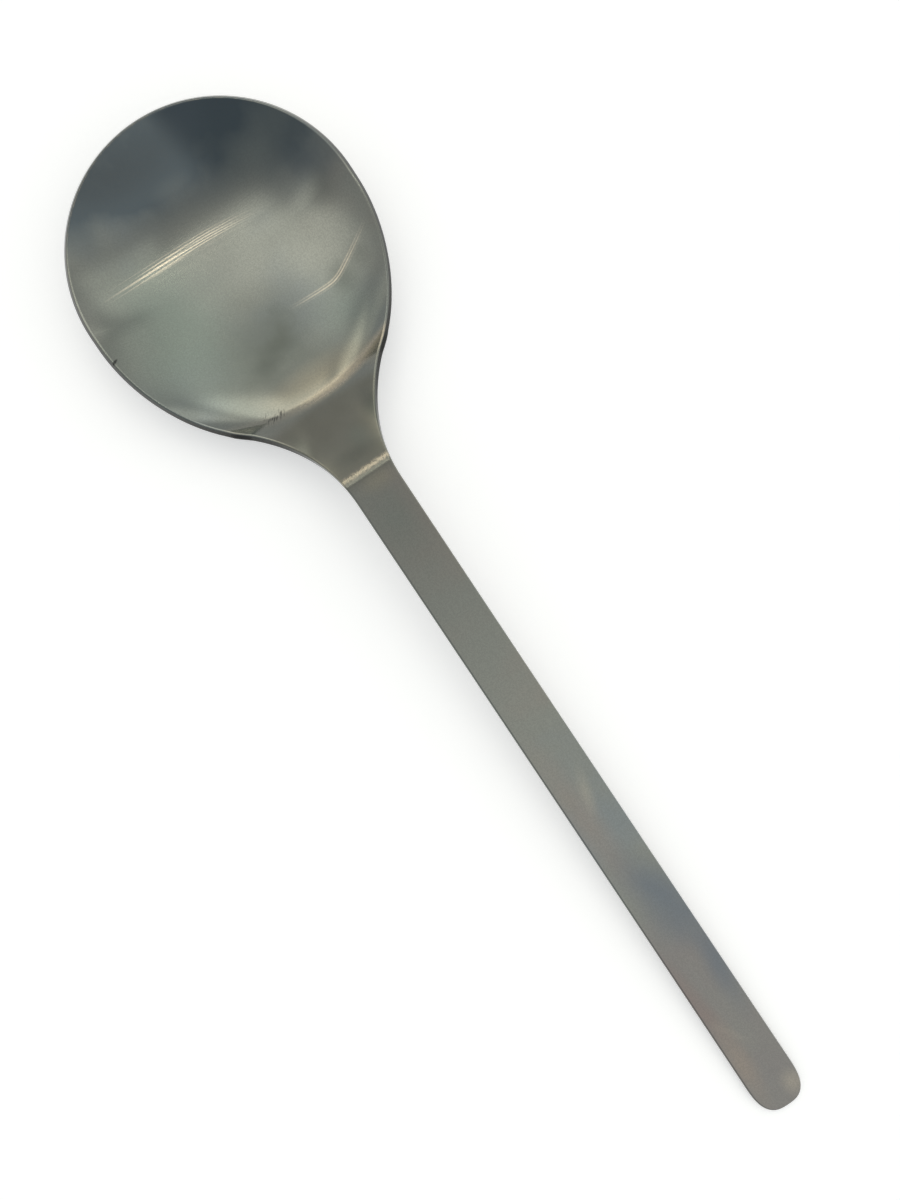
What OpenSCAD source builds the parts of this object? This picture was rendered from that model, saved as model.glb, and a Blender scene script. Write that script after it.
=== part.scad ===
// Salad serving spoon pressed from one piece of sheet steel, lying face up on a table.
// The spoon runs along X, from the bowl's far rim to the handle's tip, and Z is up from the table.
// Its three sub-parts are the stretches of the one sheet on either side of its two folds.
// Places along the spoon are told by their distance from the bowl's far rim, called reach.

/* [Sheet] */
// Length of the whole spoon
overall_length = 281.6; // [250:0.2:320]
// Thickness of the sheet
sheet_thickness = 1.8; // [1.2:0.1:2.4]
// Radius that rounds the cut edges of the sheet
edge_radius = 0.5; // [0.2:0.05:0.55]

/* [Bowl] */
// Width of the bowl's mouth, between the inner edges of its rim
mouth_width = 70.8; // [62:0.2:78]
// Length of the straight stretch where the bowl is widest
widest_length = 3.6; // [1:0.2:8]
// Radius of the bowl's sides in plan, from the widest place back towards the neck
side_radius = 44.2; // [42:0.2:50]
// Height of the rim above the table
rim_height = 13; // [10:0.2:16]
// Height of the rim where it dips beside the neck
rim_dip_height = 9; // [7:0.2:13]
// Angle at which the bowl's floor rises towards the neck, in degrees
floor_angle = 3.4; // [1:0.1:5]
// Power by which the wall steepens from the flat floor out to the rim
wall_steepness_share = 2.5; // [2.2:0.1:3]
// Length over which the floor bends up to the neck's fold
floor_bend_length = 16; // [8:0.5:24]
// Height that the floor gains over that bend
floor_bend_lift = 1; // [0.2:0.1:2]

/* [Neck] */
// Reach of the fold between bowl and neck, on the centreline
neck_fold_reach = 74.9; // [72:0.1:78]
// Distance that the fold's ends lie nearer to the bowl than its middle does
neck_fold_bow = 3.1; // [0.5:0.1:4]
// Length over which the sheet bends at the fold between bowl and neck
neck_fold_length = 1.2; // [0.6:0.1:2]
// Length of the neck in plan, from fold to fold
neck_length = 23.6; // [20:0.2:27]
// Angle at which the neck climbs away from the bowl, in degrees
neck_angle = 25; // [20:0.5:30]
// Radius of the fillets in plan that narrow the bowl's sides to the handle
neck_fillet_radius = 39.7; // [34:0.1:44]

/* [Handle] */
// Length over which the sheet bends at the fold between neck and handle
handle_fold_length = 2.4; // [2:0.1:4]
// Width of the handle where the neck's fillets end
handle_neck_width = 12; // [10:0.1:14]
// Width of the handle halfway along
handle_middle_width = 12.25; // [10:0.05:14]
// Width of the handle where its rounded tip starts
handle_tip_width = 12.9; // [11:0.1:15]
// Length of the handle's rounded tip
tip_length = 9.8; // [6:0.2:14]
// Power of the tip's outline, where 2 is an ellipse and more is squarer
tip_squareness_share = 2.8; // [2:0.1:4]

/* [Hidden] */
sheet_color = [0.44, 0.45, 0.42];

// Counts of the facets that make up each smooth surface
spoke_count_front = 44;
spoke_count_side = 15;
fold_count = 16;
ring_count = 14;
neck_row_count = 12;
fold_row_count = 5;
handle_row_count = 6;
handle_column_count = 1;
tip_row_count = 12;
edge_step_count = 2;
// Rounds of correction that settle where a bowed row meets the outline
bow_round_count = 6;
// Power by which the floor's bend gathers towards the neck's fold
floor_bend_power_share = 3;
// Angle on the tip's outline at which the tip ends in a short straight cut, in degrees
tip_end_angle = 85;

// Plan of the bowl: a half circle in front, then a side arc and a neck fillet that meet smoothly
mouth_radius = mouth_width / 2;
floor_tangent = tan(floor_angle);
low_point_share = pow(
    floor_tangent * mouth_radius / (wall_steepness_share * (rim_height - sheet_thickness)),
    1 / (wall_steepness_share - 1)
);
floor_drop = floor_tangent * mouth_radius * low_point_share
    - (rim_height - sheet_thickness) * pow(low_point_share, wall_steepness_share);
floor_middle_height = sheet_thickness + floor_drop;
front_wall_height = rim_height - floor_middle_height + floor_tangent * mouth_radius;
front_rim_angle = atan(wall_steepness_share * front_wall_height / mouth_radius);
rim_flare = (sheet_thickness - edge_radius) * sin(front_rim_angle)
    - edge_radius * cos(front_rim_angle) + edge_radius;
front_reach = rim_flare + mouth_radius;
side_reach = front_reach + widest_length;
fillet_offset = handle_neck_width / 2 + neck_fillet_radius - mouth_radius + side_radius;
fillet_reach = side_reach + sqrt(pow(side_radius + neck_fillet_radius, 2) - pow(fillet_offset, 2));
tangent_reach = side_reach
    + (fillet_reach - side_reach) * side_radius / (side_radius + neck_fillet_radius);

// Heights of the two folds, each taken as if it were sharp
handle_fold_reach = neck_fold_reach + neck_length;
neck_tangent = tan(neck_angle);
bend_tangent = floor_tangent + floor_bend_power_share * floor_bend_lift / floor_bend_length;
neck_fold_height = floor_middle_height + floor_bend_lift
    + floor_tangent * (neck_fold_reach - front_reach);
handle_fold_height = neck_fold_height + neck_tangent * neck_length;

// Slope of the handle, which lets the underside of its tip lie on the table
handle_run = overall_length - edge_radius - handle_fold_reach;
handle_run_square = pow(handle_run, 2) - pow(sheet_thickness, 2);
handle_height_square = pow(handle_fold_height, 2) - pow(sheet_thickness, 2);
handle_fold_moment = handle_fold_height * handle_run;
handle_tangent = (sqrt(pow(handle_fold_moment, 2) - handle_run_square * handle_height_square)
    - handle_fold_moment) / handle_run_square;
handle_fold_slope = atan((neck_tangent + handle_tangent) / 2);

// Plan of the handle, and half of the length of the neck's fold across the sheet
tip_reach = overall_length - tip_length * sin(tip_end_angle);
fold_half_width = half_width(neck_fold_reach - neck_fold_bow);

// Step for measuring the slope of a curve or a surface
probe_share = 0.01;
probe = sheet_thickness * probe_share;

function smooth_share(share) =
    let (part = min(1, max(0, share)))
    part * part * (3 - 2 * part);

function blend(start, end, share) = start + (end - start) * share;

// Height of a smooth curve between two places whose heights and slopes are given
function eased_height(share, run, start, end, start_tangent, end_tangent) =
    start * (2 * pow(share, 3) - 3 * pow(share, 2) + 1)
    + end * (3 * pow(share, 2) - 2 * pow(share, 3))
    + start_tangent * run * (pow(share, 3) - 2 * pow(share, 2) + share)
    + end_tangent * run * (pow(share, 3) - pow(share, 2));

// Height that a rounded fold adds past its middle, where the slope changes by fold_tangent
function fold_height(past, fold_tangent, fold_length) =
    past < -fold_length / 2 ? 0
    : past > fold_length / 2 ? fold_tangent * past
    : fold_tangent * pow(past + fold_length / 2, 2) / (2 * fold_length);

// Half of the handle's width, on a parabola through its three stated widths
function handle_half_width(reach) =
    let (
        share = (reach - fillet_reach) / (tip_reach - fillet_reach),
        near = handle_neck_width * (1 - share) * (1 - 2 * share),
        middle = handle_middle_width * 4 * share * (1 - share),
        far = handle_tip_width * share * (2 * share - 1),
        tip_share = max(0, reach - tip_reach) / tip_length,
        tip_width_share = pow(max(0, 1 - pow(tip_share, tip_squareness_share)), 1 / tip_squareness_share)
    )
    (near + middle + far) / 2 * tip_width_share;

// Half of the sheet's width, square to the centreline
function half_width(reach) =
    reach < front_reach ? sqrt(max(0, pow(mouth_radius, 2) - pow(reach - front_reach, 2)))
    : reach < side_reach ? mouth_radius
    : reach < tangent_reach ? mouth_radius - side_radius
        + sqrt(pow(side_radius, 2) - pow(reach - side_reach, 2))
    : reach < fillet_reach ? handle_neck_width / 2 + neck_fillet_radius
        - sqrt(pow(neck_fillet_radius, 2) - pow(reach - fillet_reach, 2))
    : handle_half_width(reach);

// Height of the sheet's upper face along the centreline, before the handle's fold
function centre_height(reach) =
    reach < neck_fold_reach - neck_fold_length
    ? floor_middle_height + floor_tangent * (reach - front_reach)
        + floor_bend_lift
            * pow(max(0, 1 - (neck_fold_reach - reach) / floor_bend_length), floor_bend_power_share)
    : let (past = reach - neck_fold_reach, bend_share = 1 + min(0, past) / floor_bend_length)
        floor_middle_height + floor_tangent * (min(reach, neck_fold_reach) - front_reach)
        + floor_bend_lift * pow(bend_share, floor_bend_power_share)
        + bend_tangent * max(0, past)
        + fold_height(past, neck_tangent - bend_tangent, neck_fold_length);

// Height of the upper face along the sheet's edge, before the handle's fold
function edge_height(reach) =
    let (dip_reach = neck_fold_reach - neck_fold_bow)
    reach < front_reach ? rim_height
    : reach < dip_reach
    ? eased_height((reach - front_reach) / (dip_reach - front_reach), dip_reach - front_reach,
        rim_height, rim_dip_height, 0, 0)
    : reach < handle_fold_reach
    ? eased_height((reach - dip_reach) / (handle_fold_reach - dip_reach), handle_fold_reach - dip_reach,
        rim_dip_height, handle_fold_height, 0, neck_tangent)
    : handle_fold_height + neck_tangent * (reach - handle_fold_reach);

// Distance by which the neck's fold is drawn towards the bowl at a place off the centreline
function bow_at(reach, side) =
    neck_fold_bow * pow(side / fold_half_width, 2)
    * smooth_share(1 - (neck_fold_reach - reach) / (neck_fold_reach - side_reach))
    * smooth_share((handle_fold_reach - reach) / neck_length);

// Height of the sheet's upper face at any place
function surface_height(reach, side) =
    reach < front_reach
    ? let (
        floor_height = floor_middle_height + floor_tangent * (reach - front_reach),
        wall_share = norm([reach - front_reach, side]) / mouth_radius
    ) blend(floor_height, rim_height, pow(wall_share, wall_steepness_share))
    : let (
        wall_reach = min(reach, handle_fold_reach),
        wall_share = abs(side) / half_width(wall_reach),
        wall_height = edge_height(wall_reach) - centre_height(wall_reach)
    ) centre_height(reach + bow_at(reach, side)) + wall_height * pow(wall_share, wall_steepness_share)
        + fold_height(reach - handle_fold_reach, handle_tangent - neck_tangent, handle_fold_length);

function surface_point(reach, side) = [reach, side, surface_height(reach, side)];

function unit(vector) = vector / norm(vector);

// Direction square to the upper face
function surface_normal(reach, side) =
    unit([
        surface_height(reach - probe, side) - surface_height(reach + probe, side),
        surface_height(reach, side - probe) - surface_height(reach, side + probe),
        2 * probe
    ]);

// Direction in plan that points out of the sheet, square to its outline
function outline_normal(reach, hand) =
    reach < front_reach
    ? unit([reach - front_reach, hand * half_width(reach), 0])
    : unit([half_width(reach - probe) - half_width(reach + probe), hand * 2 * probe, 0]);

// Rounded cut edge at one place of the outline, from the upper face round to the underside
function edge_profile(corner, normal, outward) =
    let (
        along = unit(outward - normal * (outward * normal)),
        upper = corner - edge_radius * along - edge_radius * normal,
        lower = corner - edge_radius * along - (sheet_thickness - edge_radius) * normal
    )
    [
        for (step = [0 : edge_step_count])
            let (turn = 90 - 90 * step / edge_step_count)
            upper + edge_radius * (cos(turn) * along + sin(turn) * normal),
        for (step = [0 : edge_step_count])
            let (turn = -90 * step / edge_step_count)
            lower + edge_radius * (cos(turn) * along + sin(turn) * normal)
    ];

// The cut edge where the outline has the given reach, on the side that hand says
function side_profile(reach, hand) =
    let (
        side = hand * half_width(reach),
        inner_side = hand * (half_width(reach) - probe)
    )
    edge_profile(
        surface_point(reach, side),
        surface_normal(reach, inner_side),
        outline_normal(reach, hand)
    );

// The same for the half circle in front, by its angle from the handle's direction
function front_profile(angle) =
    let (
        outward = [cos(angle), sin(angle), 0],
        corner = [front_reach, 0, 0] + mouth_radius * outward,
        inner = corner - probe * outward
    )
    edge_profile(
        [corner[0], corner[1], rim_height],
        surface_normal(min(inner[0], front_reach - probe), inner[1]),
        outward
    );

// A line across the sheet that crosses the centreline at the given reach and bows as the fold does
function row_reach(reach, side, rounds = bow_round_count) =
    rounds == 0 ? reach : reach - bow_at(row_reach(reach, side, rounds - 1), side);

// Reach at which that line meets the outline
function row_end_reach(reach, rounds = bow_round_count) =
    rounds == 0 ? reach : row_reach(reach, half_width(row_end_reach(reach, rounds - 1)));

// Points of one row on the upper face, from edge to edge
function row_tops(reach, count) =
    let (
        end_reach = row_end_reach(reach),
        right = side_profile(end_reach, -1)[0],
        left = side_profile(end_reach, 1)[0]
    )
    [
        for (column = [0 : count])
            let (side = blend(right[1], left[1], column / count))
            column == 0 ? right
            : column == count ? left
            : surface_point(row_reach(reach, side), side)
    ];

// Points of one row on the underside, below those of the upper face
function row_bottoms(reach, count) =
    let (
        end_reach = row_end_reach(reach),
        right = side_profile(end_reach, -1),
        left = side_profile(end_reach, 1),
        last = len(right) - 1
    )
    [
        for (column = [0 : count])
            let (
                side = blend(right[0][1], left[0][1], column / count),
                across = row_reach(reach, side)
            )
            column == 0 ? right[last]
            : column == count ? left[last]
            : surface_point(across, side) - sheet_thickness * surface_normal(across, side)
    ];

function between(profile) = [for (index = [1 : len(profile) - 2]) profile[index]];

function backwards(list) = [for (index = [len(list) - 1 : -1 : 0]) list[index]];

// One row of points round the sheet: the upper face, one edge, the underside and the other edge
function row_loop(reach, count) =
    let (end_reach = row_end_reach(reach))
    concat(
        row_tops(reach, count),
        between(side_profile(end_reach, 1)),
        backwards(row_bottoms(reach, count)),
        backwards(between(side_profile(end_reach, -1)))
    );

function joined(lists) = [for (list = lists) each list];

function quad(a, b, c, d) = [[a, b, c], [a, c, d]];

// Faces between one loop of points and the next, where each loop has size points
function loop_faces(first, second, size) =
    joined([
        for (index = [0 : size - 1])
            let (next = (index + 1) % size)
            quad(first + index, first + next, second + next, second + index)
    ]);

// Faces that close a row's loop of points, cut into the same triangles on both sides of the neck's fold
function cap_faces(first, count) =
    let (
        size = 2 * (count + 1) + 2 * (2 * edge_step_count),
        left_bottom = count + 2 * edge_step_count + 1,
        right_bottom = left_bottom + count
    )
    concat(
        joined([
            for (column = [0 : count - 1])
                quad(first + column, first + column + 1, first + left_bottom + count - column - 1,
                    first + left_bottom + count - column)
        ]),
        [[for (index = [count : left_bottom]) first + index]],
        [[for (index = [right_bottom : size]) first + index % size]]
    );

function turned_over(faces) = [for (face = faces) backwards(face)];

// The stretch of sheet whose rows cross the centreline at the given reaches
module strip(reaches, count) {
    loops = [for (reach = reaches) row_loop(reach, count)];
    size = len(loops[0]);
    polyhedron(
        points = joined(loops),
        faces = concat(
            turned_over(cap_faces(0, count)),
            joined([
                for (row = [0 : len(reaches) - 2])
                    loop_faces(row * size, (row + 1) * size, size)
            ]),
            cap_faces((len(reaches) - 1) * size, count)
        )
    );
}

// Reaches of a stretch's rows, close together at both ends
function row_reaches(start, end, count) =
    [for (row = [0 : count]) blend(start, end, (1 - cos(180 * row / count)) / 2)];

// Reaches of the rows round the handle's fold, whose middle lies halfway between two of them
function fold_reaches() =
    [
        for (row = [0 : fold_row_count])
            handle_fold_reach + handle_fold_length * (row / fold_row_count - 1 / 2)
    ];

module place() {
    translate([-overall_length / 2, 0, 0])
        children();
}

// All that lies on the handle's side of the handle's fold, square to the sheet
module handle_side() {
    translate(surface_point(handle_fold_reach, 0))
        rotate([0, -handle_fold_slope, 0])
            translate([0, -mouth_width, -overall_length])
                cube([overall_length, 2 * mouth_width, 2 * overall_length]);
}

// The bowl: spokes run from its middle to the rim, and to the fold at the neck
module bowl() {
    middle = [front_reach, 0];
    fold_tops = row_tops(neck_fold_reach, fold_count);
    fold_bottoms = row_bottoms(neck_fold_reach, fold_count);
    end_reach = row_end_reach(neck_fold_reach);
    left_profiles = [
        for (spoke = [0 : spoke_count_side])
            side_profile(blend(end_reach, side_reach, spoke / spoke_count_side), 1)
    ];
    front_profiles = [
        for (spoke = [0 : spoke_count_front])
            front_profile(90 + 180 * spoke / spoke_count_front)
    ];
    right_profiles = [
        for (spoke = [spoke_count_side : -1 : 0])
            side_profile(blend(end_reach, side_reach, spoke / spoke_count_side), -1)
    ];
    profiles = concat(left_profiles, front_profiles, right_profiles);
    edge_size = len(profiles);
    profile_size = len(profiles[0]);
    between_size = profile_size - 2;
    // The rim's first and last places are the two ends of the fold
    rim_tops = concat(fold_tops, [for (index = [1 : edge_size - 2]) profiles[index][0]]);
    rim_bottoms = concat(
        fold_bottoms,
        [for (index = [1 : edge_size - 2]) profiles[index][profile_size - 1]]
    );
    size = len(rim_tops);
    rings = [
        for (ring = [1 : ring_count - 1])
            [
                for (top = rim_tops)
                    let (spot = blend(middle, [top[0], top[1]], ring / ring_count))
                    [surface_point(spot[0], spot[1]), surface_normal(spot[0], spot[1])]
            ]
    ];
    middle_top = surface_point(middle[0], middle[1]);
    middle_bottom = middle_top - sheet_thickness * surface_normal(middle[0], middle[1]);
    top_points = concat(joined([for (ring = rings) [for (spot = ring) spot[0]]]), rim_tops);
    bottom_points = concat(
        joined([for (ring = rings) [for (spot = ring) spot[0] - sheet_thickness * spot[1]]]),
        rim_bottoms
    );
    between_points = joined([for (profile = profiles) between(profile)]);
    bottom_start = len(top_points);
    between_start = bottom_start + len(bottom_points);
    middle_start = between_start + len(between_points);
    top_rim_start = (ring_count - 1) * size;
    bottom_rim_start = bottom_start + top_rim_start;
    // Place of one point of an edge profile in the whole list of points
    function rim_index(profile, step) =
        let (spoke = (fold_count + profile) % size)
        step == 0 ? top_rim_start + spoke
        : step == profile_size - 1 ? bottom_rim_start + spoke
        : between_start + profile * between_size + step - 1;
    function sheet_faces(start, centre) =
        concat(
            [for (spoke = [0 : size - 1]) [centre, start + (spoke + 1) % size, start + spoke]],
            joined([
                for (ring = [0 : ring_count - 2])
                    loop_faces(start + ring * size, start + (ring + 1) * size, size)
            ])
        );
    place()
        color(sheet_color)
            polyhedron(
                points = concat(top_points, bottom_points, between_points, [middle_top, middle_bottom]),
                faces = concat(
                    sheet_faces(0, middle_start),
                    turned_over(sheet_faces(bottom_start, middle_start + 1)),
                    joined([
                        for (profile = [0 : edge_size - 2])
                            joined([
                                for (step = [0 : profile_size - 2])
                                    quad(rim_index(profile, step), rim_index(profile + 1, step),
                                        rim_index(profile + 1, step + 1), rim_index(profile, step + 1))
                            ])
                    ]),
                    joined([
                        for (column = [0 : fold_count - 1])
                            quad(
                                top_rim_start + column, top_rim_start + column + 1,
                                bottom_rim_start + column + 1, bottom_rim_start + column
                            )
                    ]),
                    [[for (step = [0 : profile_size - 1]) rim_index(0, step)]],
                    [[for (step = [profile_size - 1 : -1 : 0]) rim_index(edge_size - 1, step)]]
                )
            );
}

// The neck: a ramp that narrows and flattens from the bowl's fold to the handle's
module neck() {
    fold_rows = fold_reaches();
    ramp_rows = row_reaches(neck_fold_reach, fold_rows[0], neck_row_count);
    place()
        color(sheet_color)
            difference() {
                strip(concat(ramp_rows, between(fold_rows), [fold_rows[fold_row_count]]), fold_count);
                handle_side();
            }
}

// The handle: a long flat bar with a rounded tip
module handle() {
    fold_rows = fold_reaches();
    fold_end = fold_rows[fold_row_count];
    bar_rows = [for (row = [1 : handle_row_count]) blend(fold_end, tip_reach, row / handle_row_count)];
    tip_rows = [
        for (row = [1 : tip_row_count])
            tip_reach + tip_length * sin(tip_end_angle * row / tip_row_count)
    ];
    place()
        color(sheet_color)
            intersection() {
                strip(concat(fold_rows, bar_rows, tip_rows), handle_column_count);
                handle_side();
            }
}

bowl();
neck();
handle();
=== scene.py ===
import math

import bpy
import numpy as np
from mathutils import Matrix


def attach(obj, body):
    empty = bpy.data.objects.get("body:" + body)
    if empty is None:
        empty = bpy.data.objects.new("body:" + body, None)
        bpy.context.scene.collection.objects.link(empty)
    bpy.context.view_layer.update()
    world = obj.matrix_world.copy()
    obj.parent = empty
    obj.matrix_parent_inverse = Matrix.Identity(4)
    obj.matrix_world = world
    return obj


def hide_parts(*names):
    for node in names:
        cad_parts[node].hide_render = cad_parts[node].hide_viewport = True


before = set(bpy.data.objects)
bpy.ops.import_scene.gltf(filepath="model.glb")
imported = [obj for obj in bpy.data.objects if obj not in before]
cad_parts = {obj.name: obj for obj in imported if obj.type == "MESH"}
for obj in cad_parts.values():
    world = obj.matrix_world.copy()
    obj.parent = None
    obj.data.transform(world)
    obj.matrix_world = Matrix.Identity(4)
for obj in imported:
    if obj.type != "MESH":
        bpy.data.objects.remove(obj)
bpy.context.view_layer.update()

bl_info = {
    "name": "Salad Serving Spoon",
    "version": (1, 0, 0),
    "blender": (4, 5, 0),
    "location": "View3D > Sidebar > Spoon",
    "description": "Dresses the packed spoon in dark satin steel and sets it on a pale studio floor",
    "category": "Add Mesh",
}

MILLIMETRE = 0.001
TINY = 1e-12
SAME_SHARE = 1e-6
MERGE_DISTANCE = 0.0005 * MILLIMETRE
EDGE_STEPS = 5
FOLD_COLUMNS = 60

# Stretches a pattern so far along an axis that it stays the same there.
FAR_SIZE = 1e3


def length_property(name, description, millimetres):
    return bpy.props.FloatProperty(
        name=name, description=description, default=millimetres * MILLIMETRE, unit="LENGTH")


def angle_property(name, description, degrees):
    return bpy.props.FloatProperty(
        name=name, description=description, default=math.radians(degrees), subtype="ANGLE")


def number_property(name, description, default, **limits):
    return bpy.props.FloatProperty(name=name, description=description, default=default, **limits)


def color_property(name, description, color):
    return bpy.props.FloatVectorProperty(
        name=name, description=description, default=color, subtype="COLOR", min=0, max=1)


class SpoonSizes(bpy.types.PropertyGroup):
    """Sizes of the pressed sheet, the same as in the spoon's construction."""

    overall_length: length_property("Overall length", "Length of the whole spoon", 281.6)
    sheet_thickness: length_property("Sheet thickness", "Thickness of the sheet", 1.8)
    edge_radius: length_property("Edge radius", "Radius that rounds the cut edges of the sheet", 0.5)
    mouth_width: length_property("Mouth width", "Width of the bowl's mouth", 70.8)
    widest_length: length_property("Widest length", "Straight stretch where the bowl is widest", 3.6)
    side_radius: length_property("Side radius", "Radius of the bowl's sides in plan", 44.2)
    rim_height: length_property("Rim height", "Height of the rim above the table", 13)
    rim_dip_height: length_property("Rim dip height", "Height of the rim beside the neck", 9)
    floor_angle: angle_property("Floor angle", "Rise of the bowl's floor towards the neck", 3.4)
    wall_steepness: number_property(
        "Wall steepness", "Power by which the wall steepens out to the rim", 2.5)
    floor_bend_length: length_property(
        "Floor bend length", "Length over which the floor bends up to the neck", 16)
    floor_bend_lift: length_property("Floor bend lift", "Height that the floor gains over that bend", 1)
    floor_sag: length_property("Floor sag", "How far the middle of the floor sags between its ends", 0.35)
    neck_fold_reach: length_property("Neck fold reach", "Place of the fold between bowl and neck", 74.9)
    neck_fold_bow: length_property("Neck fold bow", "How much nearer to the bowl the fold's ends lie", 3.1)
    neck_fold_length: length_property("Neck fold length", "Length over which the neck's fold bends", 1.2)
    neck_length: length_property("Neck length", "Length of the neck in plan, from fold to fold", 23.6)
    neck_angle: angle_property("Neck angle", "Climb of the neck away from the bowl", 25)
    neck_fillet_radius: length_property(
        "Neck fillet radius", "Radius in plan that narrows the bowl to the handle", 39.7)
    handle_fold_length: length_property(
        "Handle fold length", "Length over which the handle's fold bends", 2.4)
    handle_neck_width: length_property("Handle width at the neck", "Width where the neck's fillets end", 12)
    handle_middle_width: length_property("Handle width halfway", "Width halfway along the handle", 12.25)
    handle_tip_width: length_property("Handle width at the tip", "Width where the rounded tip starts", 12.9)
    tip_length: length_property("Tip length", "Length of the handle's rounded tip", 9.8)
    tip_squareness: number_property(
        "Tip squareness", "Power of the tip's outline, where 2 is an ellipse", 2.8)


class SteelFinish(bpy.types.PropertyGroup):
    """Colours and texture of the dark satin steel, with the colours of its painted shade, painted
    reflections and painted highlights.
    """

    steel_color: color_property("Steel", "Colour that the steel reflects", (0.285, 0.30, 0.265))
    blue_color: color_property(
        "Blue heat tint", "Colour where the steel has a blue tint", (0.24, 0.28, 0.30))
    brown_color: color_property(
        "Brown heat tint", "Colour where the steel has a brown tint", (0.33, 0.29, 0.25))
    green_color: color_property(
        "Green heat tint", "Colour where the steel has a green tint", (0.22, 0.27, 0.235))
    # Golden tone that also serves as a painted glow beside the folds.
    gold_color: color_property(
        "Golden heat tint", "Colour of the glow beside the folds", (0.40, 0.365, 0.265))
    # Painted shade that darkens the neck, over a brown tone.
    neck_color: color_property("Neck heat tint", "Colour of the dark neck", (0.215, 0.215, 0.175))
    umber_color: color_property("Umber heat tint", "Colour towards the handle's tip", (0.265, 0.25, 0.24))
    # Painted shade: darker patches where the bowl would reflect less light.
    shade_color: color_property(
        "Smoky heat tint", "Colour of the smoky patches", (0.115, 0.13, 0.112))
    navy_color: color_property(
        "Deep blue heat tint", "Colour of the bluest places", (0.175, 0.205, 0.235))
    rust_color: color_property(
        "Rusty heat tint", "Colour of the reddest places of the handle", (0.285, 0.235, 0.215))
    # Painted dark reflection with a bluish tone, on the bowl's far wall and in dark patches.
    dark_color: color_property(
        "Dark heat tint", "Colour where the steel has a dark bluish tint", (0.094, 0.122, 0.136))
    # Painted reflection: paler patches where the bowl would reflect bright light.
    pale_color: color_property(
        "Pale steel", "Colour of the palest places of the bowl", (0.43, 0.445, 0.385))
    # Paler steel: rubbed finish along the folds and in wisps on the handle, and a painted highlight along
    # each fold's ridge.
    worn_and_sheen_color: color_property(
        "Worn steel", "Colour of folds and patches where the finish is thin", (0.60, 0.535, 0.41))
    # Painted highlight: the bright lines of a lamp's streak across the bowl and along the low ridge.
    line_color: color_property(
        "Press lines", "Colour of the polished lines that the press left in the bowl", (0.74, 0.67, 0.53))
    # Painted highlight: a paler line on the rim's rounding, full at the bowl's far rim.
    rim_color: color_property(
        "Rim", "Colour of the line where the face turns into the cut edge", (0.22, 0.22, 0.20))
    edge_color: color_property(
        "Cut edge", "Colour where the cut edge rounds over to its flat", (0.18, 0.185, 0.17))
    # Near black: painted shade on the cut edge's flat, which draws a dark outline, and on the bowl's far
    # left wall; also the dark scuffs and the small dark mark.
    burr_and_shade_color: color_property(
        "Burr", "Colour of the cut edge's dull flat and of the darkest marks", (0.03, 0.03, 0.028))
    grain_color: color_property(
        "Grain", "Colour of the darkest specks of the satin grain", (0.12, 0.125, 0.115))
    roughness: number_property("Roughness", "Middle roughness of the satin surface", 0.17, min=0, max=1)
    coat_weight: number_property("Coat", "Strength of the thin hard coat's own gloss", 0.5, min=0, max=1)
    coat_roughness: number_property("Coat roughness", "Roughness of that gloss", 0.05, min=0, max=1)
    grain_depth: length_property("Grain depth", "Depth of the fine satin grain", 0.003)
    line_spacing: length_property("Line spacing", "Distance between the fine lines across the spoon", 0.25)
    line_depth: length_property("Line depth", "Depth of the fine lines across the spoon", 0.005)
    # Spacing of the painted highlight lines in the bowl.
    highlight_line_spacing: length_property(
        "Press line spacing", "Distance between the polished lines in the bowl", 0.34)
    mark_width: length_property(
        "Press mark width", "Width of the low ridge between the bowl's floor and wall", 2.2)
    mark_height: length_property("Press mark height", "Height of that ridge", 0.008)


class StudioSettings(bpy.types.PropertyGroup):
    """Camera, sky and floor."""

    camera_x: length_property("Camera X", "Place of the camera along the spoon", -7.42)
    camera_y: length_property("Camera Y", "Place of the camera across the spoon", -0.47)
    camera_height: length_property("Camera height", "Height of the camera above the table", 222)
    camera_lens: number_property("Lens", "Focal length in millimetres on a 36 mm long side", 27.12)
    camera_turn: angle_property("Camera turn", "Turn of the camera about the vertical", 56.34)
    sky_strength: number_property("Sky", "Strength of the even light overhead", 0.5)
    horizon_strength: number_property("Horizon", "Strength of the even light near the horizon", 0.6)
    floor_color: color_property("Floor", "Colour of the floor", (0.885, 0.90, 0.897))
    floor_lift: number_property(
        "Floor lift", "Light added to the floor as the camera and the steel see it", 0.42)


def smooth_share(share):
    part = np.clip(share, 0, 1)
    return part * part * (3 - 2 * part)


def blend(start, end, share):
    return start + (end - start) * share


def unit(vectors):
    return vectors / np.maximum(np.linalg.norm(vectors, axis=-1, keepdims=True), TINY)


def eased_height(share, run, start, end, start_tangent, end_tangent):
    """Height of a smooth curve between two places whose heights and slopes are given."""
    square, cube = share ** 2, share ** 3
    return (start * (2 * cube - 3 * square + 1) + end * (3 * square - 2 * cube)
            + start_tangent * run * (cube - 2 * square + share) + end_tangent * run * (cube - square))


def fold_height(past, fold_tangent, fold_length):
    """Height that a rounded fold adds past its middle, where the slope changes by fold_tangent."""
    bent = fold_tangent * (past + fold_length / 2) ** 2 / (2 * fold_length)
    return np.where(past < -fold_length / 2, 0, np.where(past > fold_length / 2, fold_tangent * past, bent))


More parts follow.
